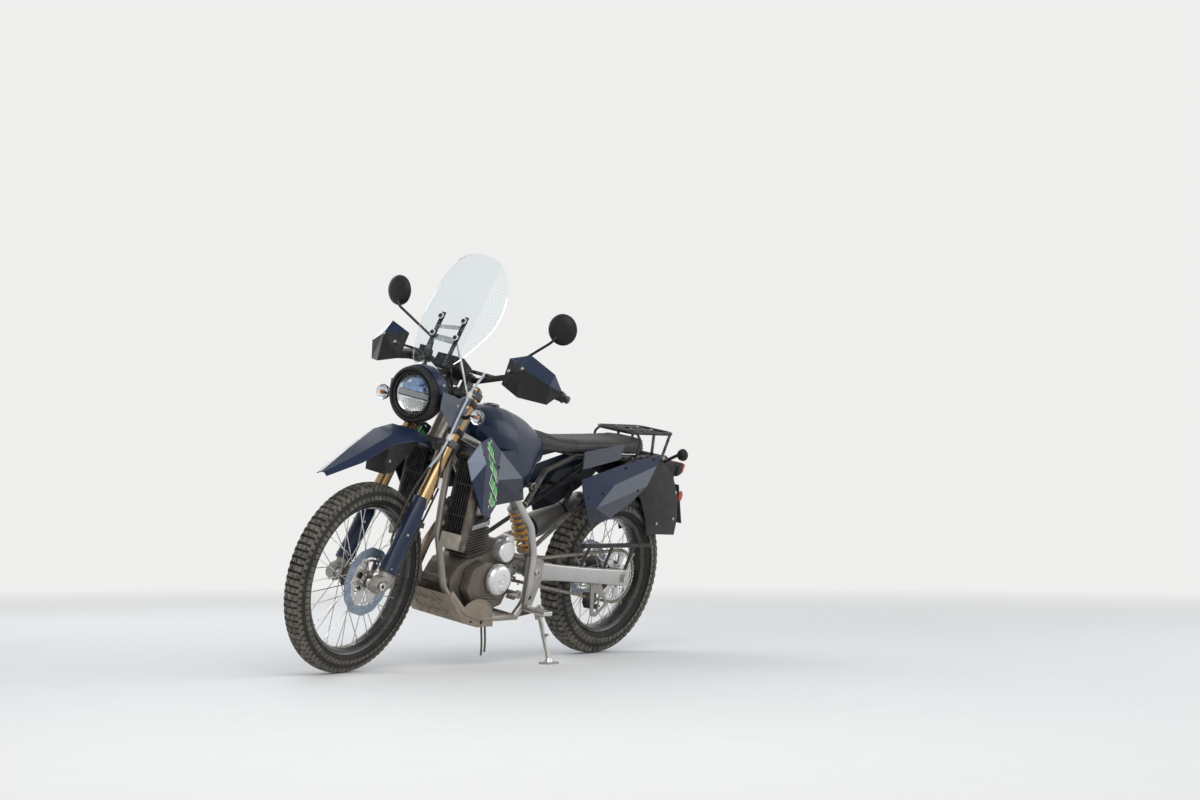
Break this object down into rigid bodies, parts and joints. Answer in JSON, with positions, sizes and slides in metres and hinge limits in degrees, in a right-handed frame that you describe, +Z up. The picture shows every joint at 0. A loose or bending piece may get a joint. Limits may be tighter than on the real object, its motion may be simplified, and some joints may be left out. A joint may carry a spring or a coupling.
{
  "type": "dual sport motorcycle",
  "caption": "Dual sport motorcycle on its side stand, with wire wheels, knobby tyres, tall clear screen, hand guards, skid plate and tubular rear rack.",
  "frame": {"origin": "on the floor, under the middle of the whole part's box", "axes": "+X forwards, +Y to the rider's left, +Z up; the machine leans 11 degrees to its left on its side stand"},
  "size_m": [2.1968, 0.8908, 1.5139],
  "materials": {
    "frame_metal": "satin",
    "bright_alloy": "satin",
    "case_metal": "matt",
    "radiator_black": "matt",
    "steel": "satin",
    "dusty_alloy": "dusty",
    "black_plastic": "matt",
    "blue_plastic": "gloss",
    "seat_cover": "matt",
    "black_metal": "satin",
    "hose_rubber": "matt",
    "fork_gold": "satin",
    "grip_rubber": "matt",
    "clear_screen": "clear",
    "clear_lens": "clear",
    "tyre_rubber": "dusty",
    "rim_black": "gloss"
  },
  "bodies": {
    "chassis": {"chain": "steel", "chain_guards": "black_plastic", "crankcase": "case_metal", "cylinder": "case_metal", "engine_covers": "bright_alloy", "exhaust": "steel", "foot_controls": "steel", "frame": "frame_metal", "rack": "black_metal", "radiators": "radiator_black", "rear_caliper": "case_metal", "rear_fender": "black_plastic", "rear_lights": "black_plastic", "seat": "seat_cover", "shock": "case_metal", "shrouds": "blue_plastic", "side_panels": "blue_plastic", "skid_plate": "dusty_alloy", "swingarm": "bright_alloy", "tank": "blue_plastic", "vent_hose_front": "hose_rubber", "vent_hose_rear": "hose_rubber"},
    "steering": {"fork_outers": "fork_gold", "fork_sliders": "steel", "fork_guards": "blue_plastic", "triple_clamps": "black_metal", "handlebar": "black_metal", "controls": "grip_rubber", "hand_guards": "blue_plastic", "mirrors": "black_plastic", "headlight": "black_plastic", "mask": "black_plastic", "windscreen": "clear_screen", "front_fender": "blue_plastic", "front_indicators": "clear_lens", "front_caliper": "case_metal"},
    "front_wheel": {"front_tyre": "tyre_rubber", "front_rim": "rim_black", "front_hub": "steel", "front_disc": "steel"},
    "rear_wheel": {"rear_tyre": "tyre_rubber", "rear_rim": "rim_black", "rear_hub": "steel", "rear_disc": "steel", "rear_sprocket": "steel"},
    "side_stand": {"side_stand": "bright_alloy"}
  },
  "joints": [
    {"name": "steering_turn", "type": "hinge", "parent": "chassis", "child": "steering", "pos_m": [0.39328, -0.06241, 0.9158], "axis": [-0.4446, 0.1708, 0.8793], "range_deg": [-48, 36]},
    {"name": "front_wheel_spin", "type": "hinge", "parent": "steering", "child": "front_wheel", "pos_m": [0.75079, -0.16742, 0.34151], "axis": [-0.094, 0.9674, -0.2354], "continuous": true},
    {"name": "rear_wheel_spin", "type": "hinge", "parent": "chassis", "child": "rear_wheel", "pos_m": [-0.67877, -0.17708, 0.32776], "axis": [-0.0003, 0.9816, -0.1908], "continuous": true},
    {"name": "side_stand_fold", "type": "hinge", "parent": "chassis", "child": "side_stand", "pos_m": [-0.15401, -0.06615, 0.19524], "axis": [0.2072, 0.7549, 0.6223], "range_deg": [0, 120]}
  ]
}
